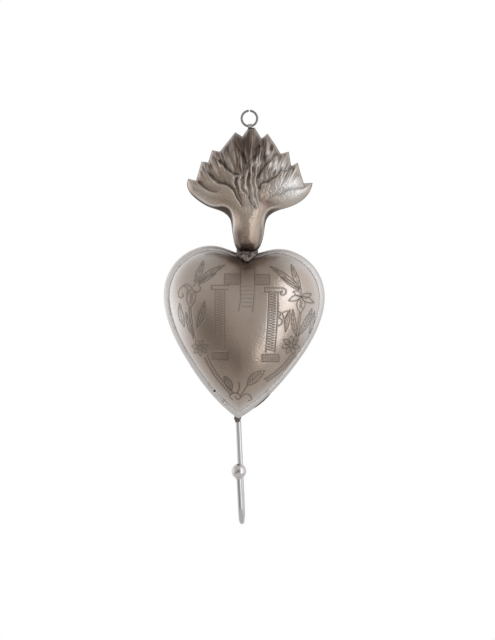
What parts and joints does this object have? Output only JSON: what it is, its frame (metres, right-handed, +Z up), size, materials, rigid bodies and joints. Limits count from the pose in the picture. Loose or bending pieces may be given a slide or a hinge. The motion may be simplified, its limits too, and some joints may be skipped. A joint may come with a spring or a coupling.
{
  "type": "tin heart wall hook",
  "caption": "Puffed tin heart with a leafy flame in its cleft, a small hanging ring on top and a J-shaped wire hook with a ball end below.",
  "frame": {"origin": "centre of the hanging ring, where the nail goes", "axes": "+Z up along the ornament as it hangs, -Y towards the viewer, +Y towards the wall, +X to the viewer's right"},
  "size_m": [0.0804, 0.0277, 0.2066],
  "materials": {
    "antique_tin": "antiqued tin plate, satin, darker in its recesses",
    "solder": "dull grey solder, rough",
    "steel_wire": "bare drawn wire, satin"
  },
  "bodies": {
    "ring": {"hanging_ring": "steel_wire"},
    "ornament": {"hanging_eye": "antique_tin", "eye_solder": "solder", "flame_front": "antique_tin", "flame_back": "antique_tin", "neck_solder": "solder", "heart_front": "antique_tin", "heart_back": "antique_tin", "seam_solder": "solder", "hook_collar": "solder", "hook_wire": "steel_wire", "hook_ball": "steel_wire", "shank_strap": "antique_tin"}
  },
  "joints": [
    {"name": "ring_swing", "type": "hinge", "parent": "ring", "child": "ornament", "pos_m": [0, 0, -0.00387], "axis": [1, 0, 0], "range_deg": [-100, 100]}
  ]
}
